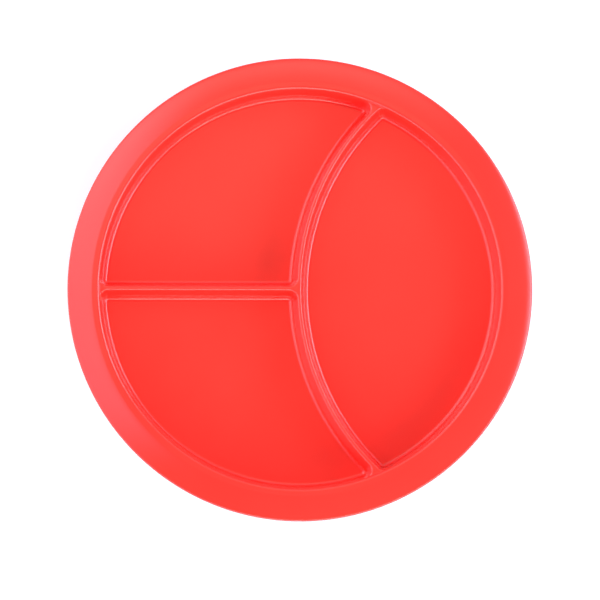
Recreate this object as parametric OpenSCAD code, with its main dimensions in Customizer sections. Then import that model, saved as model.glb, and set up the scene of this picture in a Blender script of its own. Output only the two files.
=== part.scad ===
// Round plate with three compartments, moulded in one piece.
// A deep round well has a straight divider on its left half and a curved divider that
// bows across its middle. The origin is on the table, under the middle of the plate.

/* [Plate] */
// Outside diameter of the rim
plate_d = 254; // [200:1:320]
// Height of the lip above the table
plate_h = 24; // [20:0.5:34]
// Width from the foot of the well's wall out to the plate's edge
rim_w = 19.6; // [16:0.1:30]
// Thickness of the wall everywhere except the floor
wall_t = 2.4; // [1.8:0.1:3]
// Thickness of the floor
floor_t = 2.4; // [1.8:0.1:3.2]

/* [Well] */
// Lean of the well's wall from upright, in degrees
well_draft = 6; // [2:0.5:8]
// Radius of the fillet round every floor
floor_fillet = 2.2; // [0.8:0.1:3]

/* [Lip and rim] */
// Radius of the rounded lip at the top of the well's wall
lip_round = 1.6; // [1:0.1:2.4]
// Slope at which the lip's rounding ends, in degrees
lip_fall = 14; // [6:1:24]
// Width of the narrow land between the lip and the rim
lip_land = 1.9; // [1:0.1:4]
// Slope of that land, in degrees
land_fall = 2; // [0:0.5:5]
// Slope of the rim where it leaves the land, in degrees
rim_start = 7; // [4:1:12]
// Slope of the rim at its outer edge, in degrees
rim_end = 20; // [16:1:40]

/* [Dividers] */
// How far the dividers' tops lie below the lip
divider_drop = 2; // [1:0.1:6]
// Width of the dividers at the top
crest_w = 2.1; // [2:0.1:4]
// Lean of the dividers' sides from upright, in degrees
divider_draft = 9; // [6:0.5:12]
// Rounding of the dividers' top edges
crest_round = 1.1; // [0.4:0.1:1.2]
// Radius of the curved divider, on its centre line
bow_r = 136.6; // [120:0.2:160]
// Distance from the plate's centre to the centre of that curve
bow_x = 136.1; // [120:0.1:160]
// Radius of the flat floor in each upright corner, inside the fillet
corner_r = 0.2; // [0.1:0.1:1]

/* [Underside] */
// Distance of the foot ring in from the foot of the well's wall
foot_inset = 3.4; // [3:0.1:20]
// Width of the foot ring
foot_w = 2.6; // [1.5:0.1:5]
// Height of the foot ring
foot_h = 1.6; // [1:0.1:3]
// Rounding at the blind end of the hollows under the dividers
core_round = 0.6; // [0.4:0.1:1]
// Solid stretch between each hollow's end and the foot ring or hollow beyond it
core_gap = 2.4; // [1:0.1:6]
// Radius of the fillet between the well's wall and the underside of the rim
under_fillet = 1.5; // [0.5:0.1:2]

/* [Hidden] */
$fn = 96;

// Flat stretches in each rounding of an outline
arc_steps = 5;
// Flat stretches in the bow's foot fillets, so that no edge there meets the straight's
bow_steps = arc_steps + 1;
// Flat stretches in the long sweep of the rim
rim_steps = 12;
// How far a cutting tool runs past what it cuts
overrun = 1;
// Depth of each root below the seat before it is trimmed, so that no two roots share a plane
bow_root = overrun;
straight_root = bow_root + overrun;
corner_root = straight_root + overrun;
// How far a corner's rounding bites into the two walls that it joins
corner_bite = 0.15;
// How far the feet of the dividers' fillets sink into the floor
fillet_sink = 0.05;

// Points on an arc about (cx, cy), from angle a to angle b
function arc(cx, cy, r, a, b, steps) =
    [for (i = [0:steps]) let (t = a + (b - a) * i / steps) [cx + r * cos(t), cy + r * sin(t)]];

// Levels above the table
floor_z = foot_h + floor_t;
crest_z = plate_h - divider_drop;
divider_h = crest_z - floor_z;

// The well's wall, at a height above the floor
well_r = plate_d / 2 - rim_w;
function wall_r(h) = well_r + h * tan(well_draft);
wall_across = wall_t / cos(well_draft);

// The floor's fillet against the well's wall
fillet_in = floor_fillet * tan((90 - well_draft) / 2);

// The lip's rounding, tangent to the wall
lip_cz = plate_h - lip_round;
lip_cr = wall_r(lip_cz - floor_z) + lip_round / cos(well_draft);

// The land outside the lip, and the crease where the rim leaves it
land_r = lip_cr + lip_round * sin(lip_fall);
land_z = lip_cz + lip_round * cos(lip_fall);
crease_r = land_r + lip_land;
crease_z = land_z - lip_land * tan(land_fall);

// The rim's edge is a full round, and its top is one arc from the crease to that round
edge_r = wall_t / 2;
edge_cr = plate_d / 2 - edge_r;
sweep_end_r = edge_cr + edge_r * sin(rim_end);
sweep_r = (sweep_end_r - crease_r) / (sin(rim_end) - sin(rim_start));
sweep_cr = crease_r - sweep_r * sin(rim_start);
sweep_cz = crease_z - sweep_r * cos(rim_start);
edge_cz = sweep_cz + (sweep_r - edge_r) * cos(rim_end);

// Outside of the well's wall under the rim, and its corner at the base
under_z = crease_z - wall_t;
under_cz = under_z - under_fillet;
function outside_r(z) = wall_r(z - floor_z) + wall_across;
under_cr = outside_r(under_cz) + under_fillet / cos(well_draft);
under_start = asin((max(under_cr, crease_r) - sweep_cr) / (sweep_r - wall_t));
base_round = floor_fillet + wall_t;
base_cz = foot_h + base_round;
base_cr = outside_r(base_cz) - base_round / cos(well_draft);

// The foot ring, with an edge rounding that follows its width
foot_r = well_r - foot_inset;
foot_round = foot_w / 5;

// The dividers: half their width at a height above the floor
function side_w(h) = crest_w / 2 + (divider_h - h) * tan(divider_draft);

// How far a foot fillet and a top rounding reach from the corner that they round
side_fillet_in = floor_fillet * tan((90 - divider_draft) / 2);
crest_in = crest_round * tan((90 - divider_draft) / 2);

// The hollow under a divider keeps the wall thickness on both sides
core_mouth = side_w(-floor_t) - wall_t / cos(divider_draft);
core_cz = foot_h + (core_mouth - core_round / cos(divider_draft)) / tan(divider_draft);
core_end_r = foot_r - foot_w - core_gap;

// The upright corners of the compartments widen with height. Their axes stand a little
// nearer the walls than their radius, so that each rounding bites into both walls.
corner_base = corner_r + side_fillet_in;
corner_dip = floor_t / 8;
corner_set = corner_base - corner_bite;
side_set = side_w(0) + corner_set;

// Middle of the wall's thickness, at a height above the floor, where what joins the wall ends
function seat_r(h) = wall_r(h) + wall_across / 2;
seat_z = foot_h + floor_t / 2;
seat_top_r = seat_r(divider_h);

// The bow's centre, and where circles about the plate's centre and the bow's centre meet
bow_c = [bow_x, 0];
function meet_x(a, b) = (a * a - b * b + bow_x * bow_x) / (2 * bow_x);
function meet(a, b) = [meet_x(a, b), sqrt(a * a - pow(meet_x(a, b), 2))];

// Fillings run past a divider's centre line, and past the seat before it is trimmed
past_line = crest_w / 8;
past_seat_r = seat_top_r + overrun;

// The point straight outwards from p, past the seat, and the one towards the bow at radius r
function to_wall(p) = p * past_seat_r / norm(p);
function to_bow(p, r) = bow_c + (p - bow_c) * r / norm(p - bow_c);

// Corner axes on the plate's back half: at the bow, at the wall, and at both ends of the bow
tee_axis = [bow_x - sqrt(pow(bow_r + side_set, 2) - side_set * side_set), side_set];
end_axis = [-sqrt(pow(well_r - corner_set, 2) - side_set * side_set), side_set];
left_axis = meet(well_r - corner_set, bow_r + side_set);
right_axis = meet(well_r - corner_set, bow_r - side_set);

// Each corner: its axis, then the three points that its filling reaches inside the walls
near_r = bow_r - past_line;
far_r = bow_r + past_line;
CORNERS = [
    [tee_axis, [tee_axis[0], -past_line], [bow_x - near_r, -past_line], to_bow(tee_axis, near_r)],
    [end_axis, [end_axis[0], -past_line], [-past_seat_r, -past_line], to_wall(end_axis)],
    [left_axis, to_bow(left_axis, near_r), meet(past_seat_r, near_r), to_wall(left_axis)],
    [right_axis, to_bow(right_axis, far_r), meet(past_seat_r, far_r), to_wall(right_axis)]
];

// Cross-section of the shell: floor, well wall, lip, rim, well's outside and foot ring
module shell_section() {
    polygon(concat(
        [[0, foot_h], [0, floor_z]],
        arc(well_r - fillet_in, floor_z + floor_fillet, floor_fillet, -90, -well_draft, arc_steps),
        arc(lip_cr, lip_cz, lip_round, 180 - well_draft, 90 - lip_fall, arc_steps),
        arc(sweep_cr, sweep_cz, sweep_r, 90 - rim_start, 90 - rim_end, rim_steps),
        arc(edge_cr, edge_cz, edge_r, 90 - rim_end, -90 - rim_end, 2 * arc_steps),
        arc(sweep_cr, sweep_cz, sweep_r - wall_t, 90 - rim_end, 90 - under_start, rim_steps),
        arc(under_cr, under_cz, under_fillet, 90, 180 - well_draft, arc_steps),
        arc(base_cr, base_cz, base_round, -well_draft, -90, arc_steps),
        [[foot_r, foot_h]],
        arc(foot_r - foot_round, foot_round, foot_round, 0, -90, arc_steps),
        arc(foot_r - foot_w + foot_round, foot_round, foot_round, -90, -180, arc_steps),
        [[foot_r - foot_w, foot_h]]
    ));
}

module shell() {
    rotate_extrude() shell_section();
}

// A shape on one side of an upright line, drawn again on the other side of it
module both_sides(half) {
    last = len(half) - 1;
    polygon(concat(half, [for (i = [last:-1:0]) [-half[i][0], half[i][1]]]));
}

// A divider's cross-section: foot fillets, leaning sides and rounded top edges.
// Its root reaches below the seat, where it is trimmed off with the others.
module divider_section(root, steps) {
    both_sides(concat(
        [[side_w(0) + side_fillet_in, seat_z - root]],
        arc(side_w(0) + side_fillet_in, floor_z + floor_fillet - fillet_sink, floor_fillet,
            -90, divider_draft - 180, steps),
        arc(crest_w / 2 - crest_in, crest_z - crest_round, crest_round, divider_draft, 90, arc_steps)
    ));
}

// Cross-section of the hollow under a divider
module core_section() {
    both_sides(concat(
        [[core_mouth + overrun * tan(divider_draft), foot_h - overrun]],
        arc(0, core_cz, core_round, divider_draft, 90, arc_steps)
    ));
}

// Carries a section along the straight divider, from the wall as far as the given x
module along_straight(end_x) {
    translate([-past_seat_r, 0, 0]) rotate([90, 0, 90])
        linear_extrude(height = past_seat_r + end_x) children();
}

// Carries a section round the bow, a little past the wall at both ends
module along_bow() {
    bow_end = meet(plate_d / 2, bow_r) - bow_c;
    half_sweep = atan2(bow_end[1], -bow_end[0]);
    translate([bow_x, 0, 0]) rotate([0, 0, 180 - half_sweep])
        rotate_extrude(angle = 2 * half_sweep) translate([bow_r, 0]) children();
}

// Fills one upright corner between two walls. A cone about the corner's axis cuts the
// compartment's own rounding back out of it, from just inside the floor upwards.
module corner(points) {
    cone_h = corner_dip + divider_h + overrun;
    cone_r = corner_base - corner_dip * tan(divider_draft);
    difference() {
        translate([0, 0, seat_z - corner_root])
            linear_extrude(height = crest_z - seat_z + corner_root) polygon(points);
        translate([points[0][0], points[0][1], floor_z - corner_dip])
            cylinder(h = cone_h, r1 = cone_r, r2 = cone_r + cone_h * tan(divider_draft));
    }
}

module corners() {
    for (points = CORNERS) {
        corner(points);
        mirror([0, 1, 0]) corner(points);
    }
}

// The dividers and corner fillings, which end in the middle of the wall's thickness
module dividers() {
    intersection() {
        union() {
            along_straight(bow_x - bow_r) divider_section(straight_root, arc_steps);
            along_bow() divider_section(bow_root, bow_steps);
            corners();
        }
        translate([0, 0, seat_z])
            cylinder(h = crest_z - seat_z, r1 = seat_r(seat_z - floor_z), r2 = seat_top_r);
    }
}

// The hollows under the dividers, which stop short of the foot ring and of each other
module cores() {
    intersection() {
        union() {
            along_straight(bow_x - bow_r - core_mouth - core_gap) core_section();
            along_bow() core_section();
        }
        translate([0, 0, foot_h - overrun])
            cylinder(h = crest_z, r1 = core_end_r, r2 = core_end_r - crest_z * tan(divider_draft));
    }
}

// The whole moulding
module plate() {
    color([1, 0.27, 0.24]) difference() {
        union() {
            shell();
            dividers();
        }
        cores();
    }
}

plate();
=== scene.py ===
from collections import namedtuple
from math import asin, atan2, cos, degrees, pi, radians, sin, sqrt, tan

import bmesh
import bpy
from mathutils import Matrix, Vector


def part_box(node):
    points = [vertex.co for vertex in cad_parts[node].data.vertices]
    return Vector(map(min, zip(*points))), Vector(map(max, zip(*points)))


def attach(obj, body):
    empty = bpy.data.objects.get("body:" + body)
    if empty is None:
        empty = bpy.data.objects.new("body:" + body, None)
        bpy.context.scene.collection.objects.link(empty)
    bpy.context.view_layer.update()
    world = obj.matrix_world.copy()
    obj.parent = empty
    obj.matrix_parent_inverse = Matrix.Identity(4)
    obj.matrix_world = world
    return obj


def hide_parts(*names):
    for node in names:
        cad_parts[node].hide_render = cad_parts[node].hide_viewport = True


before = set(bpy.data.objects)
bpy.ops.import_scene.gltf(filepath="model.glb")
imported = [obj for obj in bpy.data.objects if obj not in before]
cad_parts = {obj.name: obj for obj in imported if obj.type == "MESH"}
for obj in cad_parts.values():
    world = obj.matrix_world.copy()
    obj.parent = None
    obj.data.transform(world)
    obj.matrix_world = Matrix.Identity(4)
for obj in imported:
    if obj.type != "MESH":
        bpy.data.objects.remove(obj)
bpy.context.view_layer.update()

# The plate is one moulding in a hard glossy plastic, coloured right through. It has a
# deep well, a straight divider, a divider that bows across the middle, and a sloping rim.
# Its back half is drawn first, and mirrored across the line of the straight divider.
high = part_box("plate")[1]
plate_r = high.x
lip_top = high.z

# Sizes are in metres, and leans are from upright. The rim's width runs from the foot of the
# well's wall out to the plate's edge, and the dividers' tops lie their drop below the lip.
rim_w = 0.0196
wall_t = 0.0024
floor_t = 0.0024
foot_h = 0.0016
wall_lean = radians(6)
side_lean = radians(9)
fillet = 0.0022
divider_drop = 0.002
crest_w = 0.0021
crest_round = 0.0011
bow_r = 0.1366
bow_centre = Vector((0.1361, 0))
corner_r = 0.0003

# Levels of the floor and of the dividers' tops, and where the wall's slope meets the floor
floor_z = foot_h + floor_t
crest_z = lip_top - divider_drop
well_r = plate_r - rim_w

# How finely the moulding is drawn: columns along the walls, and rows up and over them
spacing = 0.002
corner_steps = 12
fillet_steps = 9
crest_steps = 8
top_rows = 2

# How far the dividers' tops stop short of the wall, the share of the room up to its rest
# that a column's crest rounding may take, and the gap below which two points are one
seam = 0.0003
crest_room = 0.85
hair = 1e-6

# A column runs up from its foot on a floor's outline, and leans outwards until it goes
# over a crest to its rest
Column = namedtuple("Column", "foot out lean rest")


def mix(start, stop, share):
    return start + (stop - start) * share


def unit(angle):
    return Vector((cos(angle), sin(angle)))


def polar(point):
    return atan2(point.y, point.x)


def lift(point, z):
    """A point of the plan, brought to a height."""
    return Vector((point.x, point.y, z))


def reach(lean, z):
    """How far a leaning wall stands back from the flat floor's edge at a height."""
    return fillet * cos(lean) + (z - floor_z - fillet * (1 - sin(lean))) * tan(lean)


# Where the flat floor ends: about the plate's centre, and beside a divider's centre line
wall_foot_r = well_r - fillet * tan((pi / 2 - wall_lean) / 2)
side_foot = crest_w / 2 + reach(side_lean, crest_z)


def wall_r(z):
    return wall_foot_r + reach(wall_lean, z)


def meet(a, b):
    """Where a circle of radius a about the plate's centre meets one of radius b about the bow's."""
    x = (a * a - b * b + bow_centre.x ** 2) / (2 * bow_centre.x)
    return Vector((x, sqrt(a * a - x * x)))


def on_bow(radius, swing):
    """The point at a radius about the bow's centre, swung towards the back from the plate's centre."""
    return bow_centre + radius * unit(pi - swing)


def swing_of(point):
    return pi - polar(point - bow_centre)


# The axes of the corners' roundings, and the skeleton that the columns run up to: the
# dividers' centre lines and the well's wall
across = side_foot + corner_r
tee = Vector((bow_centre.x - sqrt((bow_r + across) ** 2 - across ** 2), across))
end = Vector((-sqrt((wall_foot_r - corner_r) ** 2 - across ** 2), across))
left_tip = meet(wall_foot_r - corner_r, bow_r + across)
right_tip = meet(wall_foot_r - corner_r, bow_r - across)
crest_wall_r = wall_r(crest_z)
bow_end = meet(crest_wall_r - seam, bow_r)
straight_end = Vector((seam - crest_wall_r, 0))
tee_swing = swing_of(tee)
end_swing = swing_of(bow_end)


def steps_along(length):
    return max(2, round(length / spacing))


def wall_columns(start, stop):
    """Columns up the well's round wall, from one direction to another."""
    steps = steps_along(abs(stop - start) * well_r)
    for k in range(steps + 1):
        out = unit(mix(start, stop, k / steps))
        yield Column(wall_foot_r * out, out, wall_lean, crest_wall_r * out)


def tip_columns(axis, outs, rests, leans):
    """Columns round a corner between a divider and the well's wall. Each pair holds a
    direction or a lean at the corner's start and at its end."""
    for k in range(corner_steps + 1):
        share = k / corner_steps
        lean = mix(*leans, share)
        out = unit(mix(*outs, share))
        inset = seam * (lean - wall_lean) / (side_lean - wall_lean)
        rest = (crest_wall_r - inset) * unit(mix(*rests, share))
        yield Column(axis + corner_r * out, out, lean, rest)


def tee_columns():
    """Columns round the corner where the straight divider meets the bow."""
    half = corner_steps // 2
    for k in range(corner_steps + 1):
        out = unit(mix(-pi / 2, polar(bow_centre - tee), k / corner_steps))
        if k < half:
            rest = Vector((mix(tee.x, bow_centre.x - bow_r, k / half), 0))
        else:
            rest = on_bow(bow_r, tee_swing * (k - half) / half)
        yield Column(tee + corner_r * out, out, side_lean, rest)


def bow_columns(side, swings, rests, steps):
    """Columns up one side of the bow: side is 1 on the left and -1 on the right. Each pair
    holds a swing at the stretch's start and at its end."""
    for k in range(steps + 1):
        swing = mix(*swings, k / steps)
        out = -side * (on_bow(1, swing) - bow_centre)
        rest = on_bow(bow_r, mix(*rests, k / steps))
        yield Column(on_bow(bow_r + side * side_foot, swing), out, side_lean, rest)


def straight_columns():
    """Columns up the back side of the straight divider."""
    steps = steps_along(tee.x - end.x)
    for k in range(steps + 1):
        foot = Vector((mix(end.x, tee.x, k / steps), side_foot))
        rest = Vector((mix(straight_end.x, tee.x, k / steps), 0))
        yield Column(foot, Vector((0, -1)), side_lean, rest)


# The back left compartment's outline, and the back half of the right one's
bow_steps = steps_along((end_swing - tee_swing) * bow_r)
back_left_well = [
    *straight_columns(),
    *tee_columns(),
    *bow_columns(1, (tee_swing, swing_of(left_tip)), (tee_swing, end_swing), bow_steps),
    *tip_columns(left_tip, (polar(bow_centre - left_tip), polar(left_tip)),
                 (polar(bow_end), polar(left_tip)), (side_lean, wall_lean)),
    *wall_columns(polar(left_tip), polar(end)),
    *tip_columns(end, (polar(end), 3 * pi / 2), (polar(end), pi), (wall_lean, side_lean)),
]
right_well = [
    *bow_columns(-1, (0, tee_swing), (0, tee_swing), corner_steps // 2),
    *bow_columns(-1, (tee_swing, swing_of(right_tip)), (tee_swing, end_swing), bow_steps),
    *tip_columns(right_tip, (polar(right_tip - bow_centre), polar(right_tip)),
                 (polar(bow_end), polar(right_tip)), (side_lean, wall_lean)),
    *wall_columns(polar(right_tip), 0),
]


def profile(column):
    """The points of one column: floor fillet, wall, crest rounding, and on to its rest. A
    column of the well's wall ends right at its rest, with no room for a rounding."""
    foot, out, lean, rest = column
    points = []
    for k in range(fillet_steps + 1):
        turn = mix(-pi / 2, -lean, k / fillet_steps)
        points.append(lift(foot + out * fillet * cos(turn), floor_z + fillet * (1 + sin(turn))))
    brink = reach(lean, crest_z)
    room = (rest - foot - out * brink).length
    shoulder = tan((pi / 2 - lean) / 2)
    rounding = min(crest_round, crest_room * room / shoulder)
    centre = brink + rounding * shoulder
    for k in range(crest_steps + 1):
        turn = mix(pi - lean, pi / 2, k / crest_steps)
        over = lift(foot + out * (centre + rounding * cos(turn)), crest_z - rounding * (1 - sin(turn)))
        z = crest_z - crest_round * (1 - k / (crest_steps + top_rows))
        up = lift(foot + out * reach(lean, z), z)
        points.append(up.lerp(over, rounding / crest_round))
    brim = points[-1]
    points += [brim.lerp(lift(rest, crest_z), k / top_rows) for k in range(1, top_rows + 1)]
    return points


def without_repeats(columns, closed):
    """The columns, without those where one stretch ends and the next begins."""
    kept = [this for this, following in zip(columns, columns[1:]) if (following[0] - this[0]).length > hair]
    if not closed:
        kept.append(columns[-1])
    return kept


def draw_chain(bm, points, closed):
    """A chain of edges through points, drawn by extruding one vertex from point to point."""
    vert = bmesh.ops.create_vert(bm, co=points[0])["vert"][0]
    chain = [vert]
    for point in points[1:]:
        vert = bmesh.ops.extrude_vert_indiv(bm, verts=[vert])["verts"][0]
        vert.co = point
        chain.append(vert)
    edges = [bm.edges.get(pair) for pair in zip(chain, chain[1:])]
    if closed:
        edges += bmesh.ops.contextual_create(bm, geom=[chain[-1], chain[0]])["edges"]
    return chain, edges


def extrude_row(bm, edges):
    """The edges and vertices of a row of faces that is extruded from a chain of edges."""
    made = bmesh.ops.extrude_edge_only(bm, edges=edges)["geom"]
    return ([g for g in made if isinstance(g, bmesh.types.BMEdge)],
            [g for g in made if isinstance(g, bmesh.types.BMVert)])


def draw_columns(bm, profiles, closed):
    """Faces through columns of points, row by row, where each vertex carries the number of
    its column. Gives back the first row's chain and edges."""
    number = bm.verts.layers.int["column"]
    chain, first_edges = draw_chain(bm, [points[0] for points in profiles], closed)
    for k, vert in enumerate(chain):
        vert[number] = k
    edges = first_edges
    for row in range(1, len(profiles[0])):
        edges, verts = extrude_row(bm, edges)
        for vert in verts:
            vert.co = profiles[vert[number]][row]
    return chain, first_edges


def raise_walls(bm, columns, closed):
    """The walls on a floor's outline, and the floor. An open outline stops at the mirror's line."""
    profiles = [profile(column) for column in without_repeats(columns, closed)]
    chain, outline = draw_columns(bm, profiles, closed)
    if not closed:
        outline += bmesh.ops.contextual_create(bm, geom=[chain[-1], chain[0]])["edges"]
    bmesh.ops.contextual_create(bm, geom=outline)


plate_bm = bmesh.new()
plate_bm.verts.layers.int.new("column")
raise_walls(plate_bm, back_left_well, True)
raise_walls(plate_bm, right_well, False)
bmesh.ops.remove_doubles(plate_bm, verts=plate_bm.verts, dist=hair)


def arc(cx, cz, r, start, stop, steps):
    """Points on an arc in the moulding's upright section, as (radius, height)."""
    turns = [radians(mix(start, stop, k / steps)) for k in range(steps + 1)]
    return [(cx + r * cos(turn), cz + r * sin(turn)) for turn in turns]


# The lip, the land outside it, and the rim, whose top is one sweep from the crease at the
# land's end to a full-round edge. Slopes are in degrees.
lip_round = 0.0016
lip_fall = 14
lip_land = 0.0019
land_fall = 2
rim_start = 7
rim_end = 20
draft = degrees(wall_lean)
lip_cz = lip_top - lip_round
lip_cr = wall_r(lip_cz) + lip_round / cos(wall_lean)
land_r = lip_cr + lip_round * sin(radians(lip_fall))
land_z = lip_cz + lip_round * cos(radians(lip_fall))
crease_r = land_r + lip_land
crease_z = land_z - lip_land * tan(radians(land_fall))
edge_r = wall_t / 2
edge_cr = plate_r - edge_r
sweep_r = edge_cr + edge_r * sin(radians(rim_end)) - crease_r
sweep_r /= sin(radians(rim_end)) - sin(radians(rim_start))
sweep_cr = crease_r - sweep_r * sin(radians(rim_start))
sweep_cz = crease_z - sweep_r * cos(radians(rim_start))
edge_cz = sweep_cz + (sweep_r - edge_r) * cos(radians(rim_end))

# The outside of the well, from the fillet under the rim down to the foot ring
under_fillet = 0.0015
foot_inset = 0.0034
foot_w = 0.0026
foot_round = foot_w / 5
foot_root = 0.0004
wall_across = wall_t / cos(wall_lean)
under_cz = crease_z - wall_t - under_fillet
under_cr = wall_r(under_cz) + wall_across + under_fillet / cos(wall_lean)
under_start = degrees(asin((max(under_cr, crease_r) - sweep_cr) / (sweep_r - wall_t)))
base_round = fillet + wall_t
base_cz = foot_h + base_round
base_cr = wall_r(base_cz) + wall_across - base_round / cos(wall_lean)
foot_r = well_r - foot_inset
foot_in = foot_r - foot_w

# The section from the lip to the inside of the foot ring, and how finely each stretch is cut
lip_steps = 12
rim_steps = 24
edge_steps = 14
under_steps = 12
nook_steps = 6
base_steps = 8
foot_steps = 4
section = [
    *arc(lip_cr, lip_cz, lip_round, 180 - draft, 90 - lip_fall, lip_steps),
    *arc(sweep_cr, sweep_cz, sweep_r, 90 - rim_start, 90 - rim_end, rim_steps),
    *arc(edge_cr, edge_cz, edge_r, 90 - rim_end, -90 - rim_end, edge_steps)[1:],
    *arc(sweep_cr, sweep_cz, sweep_r - wall_t, 90 - rim_end, 90 - under_start, under_steps)[1:],
    *arc(under_cr, under_cz, under_fillet, 90, 180 - draft, nook_steps),
    *arc(base_cr, base_cz, base_round, -draft, -90, base_steps),
    *arc(foot_r + foot_root, foot_h - foot_root, foot_root, 90, 180, foot_steps),
    *arc(foot_r - foot_round, foot_round, foot_round, 0, -90, foot_steps),
    *arc(foot_in + foot_round, foot_round, foot_round, -90, -180, foot_steps),
    *arc(foot_in - foot_root, foot_h - foot_root, foot_root, 0, 90, foot_steps),
]


def sweep_round(bm, edges, rows, share):
    """Carries the ring of edges through rows of the section. Where the dividers' tops stop
    short of the wall, a share of that gap is kept."""
    for r, z in rows:
        edges, verts = extrude_row(bm, edges)
        for vert in verts:
            flat = vert.co.xy
            flat *= (r - share * (crest_wall_r - flat.length)) / flat.length
            vert.co = lift(flat, z)
    return edges


# The walls' open upper edge is carried on up, over the lip and rim, and back underneath
step_z = crest_z + seam / 3
step_share = 0.3
ring = [edge for edge in plate_bm.edges if len(edge.link_faces) < 2 and
        all(abs(v.co.z - crest_z) < hair and v.co.xy.length > crest_wall_r - seam - hair for v in edge.verts)]
ring = sweep_round(plate_bm, ring, [(wall_r(step_z), step_z)], step_share)
ring = sweep_round(plate_bm, ring, section, 0)

# The hollows under the dividers keep their sides as thick as the wall, and stop short of
# the foot ring and of each other
core_round = 0.0006
core_gap = 0.0024
mouth_round = 0.0003
core_steps = 4
mouth_steps = 3
mouth = crest_w / 2 + (crest_z - foot_h) * tan(side_lean) - wall_t / cos(side_lean)
core_cz = foot_h + (mouth - core_round / cos(side_lean)) / tan(side_lean)
core_end_r = foot_in - core_gap


def round_cap(centre, start, stop):
    """Mouth and rest of each column round a hollow's end."""
    for k in range(corner_steps + 1):
        yield centre + mouth * unit(mix(start, stop, k / corner_steps)), centre


def hollow_profile(foot, rest):
    """A column of a hollow: rounded mouth, leaning side and rounded blind end."""
    out = (rest - foot).normalized()
    lip = mouth_round * tan((pi / 2 - side_lean) / 2)
    points = []
    for k in range(mouth_steps + 1):
        turn = mix(-pi / 2, -side_lean, k / mouth_steps)
        brim = foot + out * (mouth_round * cos(turn) - lip)
        points.append(lift(brim, foot_h + mouth_round * (1 + sin(turn))))
    for k in range(core_steps + 1):
        turn = mix(side_lean, pi / 2, k / core_steps)
        points.append(lift(rest - out * core_round * cos(turn), core_cz + core_round * sin(turn)))
    return points


def sink_hollow(bm, pairs):
    """Sinks a hollow's half into the underside. Gives back the chain and edges of its mouth."""
    return draw_columns(bm, [hollow_profile(*pair) for pair in without_repeats(pairs, False)], False)


cap_left = Vector((mouth - core_end_r, 0))
cap_right = Vector((bow_centre.x - bow_r - mouth - core_gap - mouth, 0))
run_steps = steps_along(cap_right.x - cap_left.x)
run = [cap_left.lerp(cap_right, k / run_steps) for k in range(run_steps + 1)]
straight_hollow = [
    *round_cap(cap_left, pi, pi / 2),
    *[(point + Vector((0, mouth)), point) for point in run],
    *round_cap(cap_right, pi / 2, 0),
]
bow_cap = meet(core_end_r - mouth, bow_r)
cap_swing = swing_of(bow_cap)
swing_steps = steps_along(cap_swing * bow_r)
swings = [cap_swing * k / swing_steps for k in range(swing_steps + 1)]
outward = polar(bow_cap - bow_centre)
bow_hollow = [
    *[(on_bow(bow_r + mouth, swing), on_bow(bow_r, swing)) for swing in swings],
    *round_cap(bow_cap, outward, outward - pi),
    *[(on_bow(bow_r - mouth, swing), on_bow(bow_r, swing)) for swing in reversed(swings)],
]
straight_chain, straight_edges = sink_hollow(plate_bm, straight_hollow)
bow_chain, bow_edges = sink_hollow(plate_bm, bow_hollow)

# The underside's face fills what is left between the foot ring and the hollows' mouths
ring_ends = sorted({v for edge in ring for v in edge.verts if abs(v.co.y) < hair}, key=lambda v: v.co.x)
underside = ring + straight_edges + bow_edges
for gap in ((ring_ends[0], straight_chain[0]),
            (straight_chain[-1], bow_chain[0]),
            (bow_chain[-1], ring_ends[-1])):
    underside += bmesh.ops.contextual_create(plate_bm, geom=list(gap))["edges"]
bmesh.ops.contextual_create(plate_bm, geom=underside)

bmesh.ops.remove_doubles(plate_bm, verts=plate_bm.verts, dist=hair)
bmesh.ops.mirror(plate_bm, geom=plate_bm.verts[:] + plate_bm.edges[:] + plate_bm.faces[:],
                 matrix=Matrix.Identity(4), merge_dist=hair, axis="Y")
bmesh.ops.remove_doubles(plate_bm, verts=plate_bm.verts, dist=hair)
bmesh.ops.recalc_face_normals(plate_bm, faces=plate_bm.faces)
for face in plate_bm.faces:
    face.smooth = True
plate_mesh = bpy.data.meshes.new("plate_moulding")
plate_bm.to_mesh(plate_mesh)
plate_bm.free()
plate = bpy.data.objects.new("plate_moulding", plate_mesh)
bpy.context.scene.collection.objects.link(plate)
weighted = plate.modifiers.new("Weighted normals", "WEIGHTED_NORMAL")
weighted.mode = "FACE_AREA"
weighted.weight = 100

# The plastic's colour and gloss drift a little where it flowed and cooled, and its skin
# keeps the faintest waviness and grain of the mould
coral = bpy.data.materials.new("coral_plastic")
coral.use_nodes = True
nodes = coral.node_tree.nodes
links = coral.node_tree.links
shader = nodes["Principled BSDF"]
shader.inputs["IOR"].default_value = 1.6
place = nodes.new("ShaderNodeTexCoord")


def mould_noise(scale, detail):
    """Noise that is fixed to the plate, with a scale in waves to the metre."""
    noise = nodes.new("ShaderNodeTexNoise")
    noise.inputs["Scale"].default_value = scale
    noise.inputs["Detail"].default_value = detail
    links.new(place.outputs["Object"], noise.inputs["Vector"])
    return noise.outputs["Fac"]


def mould_bump(height, strength, distance):
    """The mould's unevenness, as deep as a distance in metres."""
    bump = nodes.new("ShaderNodeBump")
    bump.inputs["Strength"].default_value = strength
    bump.inputs["Distance"].default_value = distance
    links.new(height, bump.inputs["Height"])
    return bump


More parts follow.
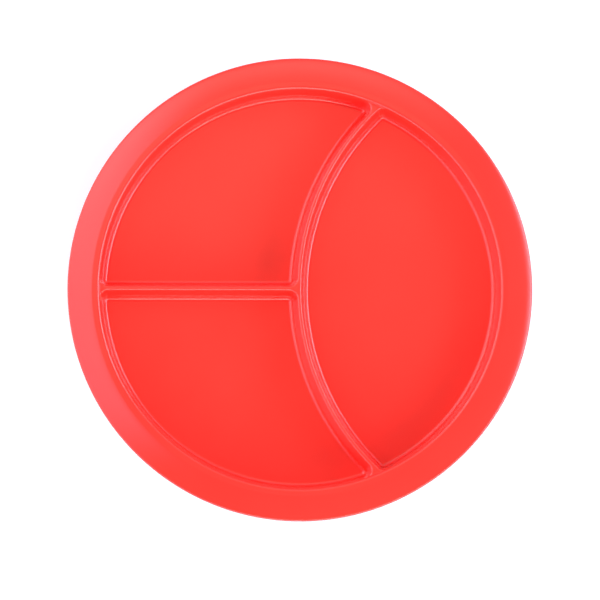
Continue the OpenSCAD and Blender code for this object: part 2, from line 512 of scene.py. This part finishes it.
# Noise keeps mostly between these two values, and the plastic's roughness between the next two
noise_low = 0.3
noise_high = 0.7
glossiest = 0.10
dullest = 0.14
drift = nodes.new("ShaderNodeValToRGB")
deep, pale = drift.color_ramp.elements
deep.position = noise_low
deep.color = (1.0, 0.034, 0.022, 1)
pale.position = noise_high
pale.color = (1.0, 0.038, 0.025, 1)
links.new(mould_noise(scale=18, detail=2), drift.inputs["Fac"])
links.new(drift.outputs["Color"], shader.inputs["Base Color"])
gloss = nodes.new("ShaderNodeMapRange")
gloss.inputs["From Min"].default_value = noise_low
gloss.inputs["From Max"].default_value = noise_high
gloss.inputs["To Min"].default_value = glossiest
gloss.inputs["To Max"].default_value = dullest
links.new(mould_noise(scale=60, detail=3), gloss.inputs["Value"])
links.new(gloss.outputs["Result"], shader.inputs["Roughness"])
waves = mould_bump(mould_noise(scale=35, detail=1), strength=0.1, distance=0.0002)
grain = mould_bump(mould_noise(scale=1400, detail=2), strength=0.04, distance=0.00003)
links.new(waves.outputs["Normal"], grain.inputs["Normal"])
links.new(grain.outputs["Normal"], shader.inputs["Normal"])
plate_mesh.materials.append(coral)
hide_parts("plate")
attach(plate, "root")

# The table is a plain white sheet that fills the camera's view. What the camera and the
# plate's gloss see of it is a little brighter, so that it reads as white but keeps a shadow.
table_half = 3
table_bm = bmesh.new()
bmesh.ops.create_grid(table_bm, x_segments=1, y_segments=1, size=table_half)
table_mesh = bpy.data.meshes.new("table")
table_bm.to_mesh(table_mesh)
table_bm.free()
table = bpy.data.objects.new("table", table_mesh)
bpy.context.scene.collection.objects.link(table)
white = bpy.data.materials.new("white_sheet")
white.use_nodes = True
nodes = white.node_tree.nodes
links = white.node_tree.links
sheet = nodes["Principled BSDF"]
sheet.inputs["Base Color"].default_value = (0.8, 0.8, 0.8, 1)
sheet.inputs["Roughness"].default_value = 0.9
sheet.inputs["Specular IOR Level"].default_value = 0
sheet.inputs["Emission Color"].default_value = (1, 1, 1, 1)
path = nodes.new("ShaderNodeLightPath")
seen = path.outputs["Is Camera Ray"]
for ray in ("Is Glossy Ray", "Is Transmission Ray"):
    either = nodes.new("ShaderNodeMath")
    either.operation = "MAXIMUM"
    links.new(seen, either.inputs[0])
    links.new(path.outputs[ray], either.inputs[1])
    seen = either.outputs["Value"]
sheet_lift = 0.4
lifted = nodes.new("ShaderNodeMath")
lifted.operation = "MULTIPLY"
lifted.inputs[1].default_value = sheet_lift
links.new(seen, lifted.inputs[0])
links.new(lifted.outputs["Value"], sheet.inputs["Emission Strength"])
table_mesh.materials.append(white)

# The world is a white light tent, bright low down, dimmer at the back and dim overhead.
# Light comes softly through its cloth at the zenith and in five wide glows above the bright
# part, from the left round to the back right.
world = bpy.data.worlds.new("studio")
bpy.context.scene.world = world
world.use_nodes = True
nodes = world.node_tree.nodes
links = world.node_tree.links
direction = nodes.new("ShaderNodeTexCoord")
height = nodes.new("ShaderNodeSeparateXYZ")
links.new(direction.outputs["Generated"], height.inputs["Vector"])
level = nodes.new("ShaderNodeVectorMath")
level.operation = "MULTIPLY"
level.inputs[1].default_value = (1, 1, 0)
links.new(direction.outputs["Generated"], level.inputs[0])
bearing = nodes.new("ShaderNodeVectorMath")
bearing.operation = "NORMALIZE"
links.new(level.outputs["Vector"], bearing.inputs[0])


def smooth_step(source, start, stop, before, after):
    """A smooth step from one value to another, as a source goes from start to stop."""
    step = nodes.new("ShaderNodeMapRange")
    step.interpolation_type = "SMOOTHSTEP"
    step.inputs["From Min"].default_value = start
    step.inputs["From Max"].default_value = stop
    step.inputs["To Min"].default_value = before
    step.inputs["To Max"].default_value = after
    links.new(source, step.inputs["Value"])
    return step.outputs["Result"]


def climb(lower, upper, before, after):
    """A smooth step between two heights above the horizon, in degrees."""
    return smooth_step(height.outputs["Z"], sin(radians(lower)), sin(radians(upper)), before, after)


def around(toward, core, spread, inside, outside):
    """One value within a core about a bearing, and another past its spread. All are in
    degrees, and bearings are counted from the right, by way of the back."""
    swing = nodes.new("ShaderNodeVectorMath")
    swing.operation = "DOT_PRODUCT"
    swing.inputs[1].default_value = (cos(radians(toward)), sin(radians(toward)), 0)
    links.new(bearing.outputs["Vector"], swing.inputs[0])
    return smooth_step(swing.outputs["Value"], cos(radians(spread)), cos(radians(core)), outside, inside)


def product(a, b):
    times = nodes.new("ShaderNodeMath")
    times.operation = "MULTIPLY"
    links.new(a, times.inputs[0])
    links.new(b, times.inputs[1])
    return times.outputs["Value"]


def tinted(strength, colour):
    tint = nodes.new("ShaderNodeVectorMath")
    tint.operation = "SCALE"
    tint.inputs[0].default_value = colour
    links.new(strength, tint.inputs["Scale"])
    return tint.outputs["Vector"]


def glow(toward, core, spread, fade_in, fade_out, radiance, colour):
    """A soft glow about a bearing, which fades in and out again between pairs of heights."""
    band = product(climb(*fade_in, before=0, after=1), climb(*fade_out, before=1, after=0))
    return tinted(product(around(toward, core, spread, inside=radiance, outside=0), band), colour)


plain = (1, 1, 1)
cream = (1, 1, 0.75)
bluish = (0.96, 0.96, 1.3)
cloth = climb(22, 46, before=2.3, after=0.11)
darker_back = around(90, core=25, spread=60, inside=0.35, outside=1)
light = tinted(product(cloth, darker_back), (0.98, 0.98, 1.2))
patches = [
    tinted(climb(82, 87, before=0, after=0.16), (1, 1, 0.8)),
    glow(168, core=28, spread=62, fade_in=(36, 46), fade_out=(70, 80), radiance=1.25, colour=bluish),
    glow(120, core=20, spread=85, fade_in=(36, 46), fade_out=(82, 89), radiance=0.42, colour=cream),
    glow(90, core=20, spread=60, fade_in=(70, 78), fade_out=(82, 86), radiance=0.3, colour=cream),
    glow(105, core=10, spread=65, fade_in=(38, 46), fade_out=(46, 76), radiance=0.75, colour=plain),
    glow(45, core=15, spread=60, fade_in=(38, 46), fade_out=(70, 86), radiance=0.1, colour=plain),
]
for patch in patches:
    add = nodes.new("ShaderNodeVectorMath")
    links.new(light, add.inputs[0])
    links.new(patch, add.inputs[1])
    light = add.outputs["Vector"]
links.new(light, nodes["Background"].inputs["Color"])

# Softboxes stand round the tent, all as far from the plate and facing it. Each is given by
# its direction, in degrees round from the right and up from the table, its size, the
# radiance of its middle and its colour. Its light fades over a share of its size at the edges.
softbox_far = 3.0
softbox_fade = 0.25


def softbox(name, toward, up, width, tall, radiance, colour):
    """A rectangular lamp, whose power is its radiance times its area and pi."""
    data = bpy.data.lights.new(name, "AREA")
    data.shape = "RECTANGLE"
    data.size = width
    data.size_y = tall
    data.energy = pi * radiance * width * tall
    data.color = colour
    data.use_nodes = True
    nodes = data.node_tree.nodes
    links = data.node_tree.links
    across = nodes.new("ShaderNodeNewGeometry")
    split = nodes.new("ShaderNodeSeparateXYZ")
    links.new(across.outputs["Parametric"], split.inputs["Vector"])
    both = nodes.new("ShaderNodeMath")
    both.operation = "MULTIPLY"
    # The place across the lamp, from 0 to 1, is turned into the distance from its nearer edge
    for k, axis in enumerate("XY"):
        inwards = nodes.new("ShaderNodeMath")
        inwards.operation = "PINGPONG"
        inwards.inputs[1].default_value = 0.5
        links.new(split.outputs[axis], inwards.inputs[0])
        rise = nodes.new("ShaderNodeMapRange")
        rise.interpolation_type = "SMOOTHSTEP"
        rise.inputs["From Max"].default_value = softbox_fade
        links.new(inwards.outputs["Value"], rise.inputs["Value"])
        links.new(rise.outputs["Result"], both.inputs[k])
    links.new(both.outputs["Value"], nodes["Emission"].inputs["Strength"])
    lamp = bpy.data.objects.new(name, data)
    back = Matrix.Rotation(radians(toward), 3, "Z") @ Vector((cos(radians(up)), 0, sin(radians(up))))
    lamp.location = softbox_far * back
    lamp.rotation_mode = "QUATERNION"
    lamp.rotation_quaternion = back.to_track_quat("Z", "Y")
    bpy.context.scene.collection.objects.link(lamp)


cool = (0.96, 0.96, 1.22)
warm = (1.02, 1.02, 0.8)
softbox("left_low_softbox", 165, up=24, width=4.4, tall=1.8, radiance=0.9, colour=warm)
softbox("right_low_softbox", 0, up=33, width=4.2, tall=1.7, radiance=4.8, colour=cool)
softbox("front_low_softbox", 285, up=32, width=4.0, tall=1.7, radiance=2.8, colour=warm)

# The camera looks almost straight down from well above, as the photograph does. It leans a
# little to the front and left, and aims just in front of the plate's middle, at the lip's
# level. Its focal length is in pixels of the photograph's frame.
frame_px = 600
focal_px = 3378
camera_far = 1.84
tilt_front = radians(4.99)
tilt_left = radians(1.21)
aim = Vector((-0.0002, -0.00664, lip_top))
camera_data = bpy.data.cameras.new("camera")
camera_data.lens = camera_data.sensor_width * focal_px / frame_px
camera = bpy.data.objects.new("camera", camera_data)
back = Vector((-sin(tilt_left), -sin(tilt_front), 1)).normalized()
right = Vector((0, 1, 0)).cross(back).normalized()
camera.location = aim + camera_far * back
camera.rotation_mode = "QUATERNION"
camera.rotation_quaternion = Matrix((right, back.cross(right), back)).transposed().to_quaternion()
bpy.context.scene.collection.objects.link(camera)
bpy.context.scene.camera = camera
bpy.context.scene.view_settings.view_transform = "Standard"
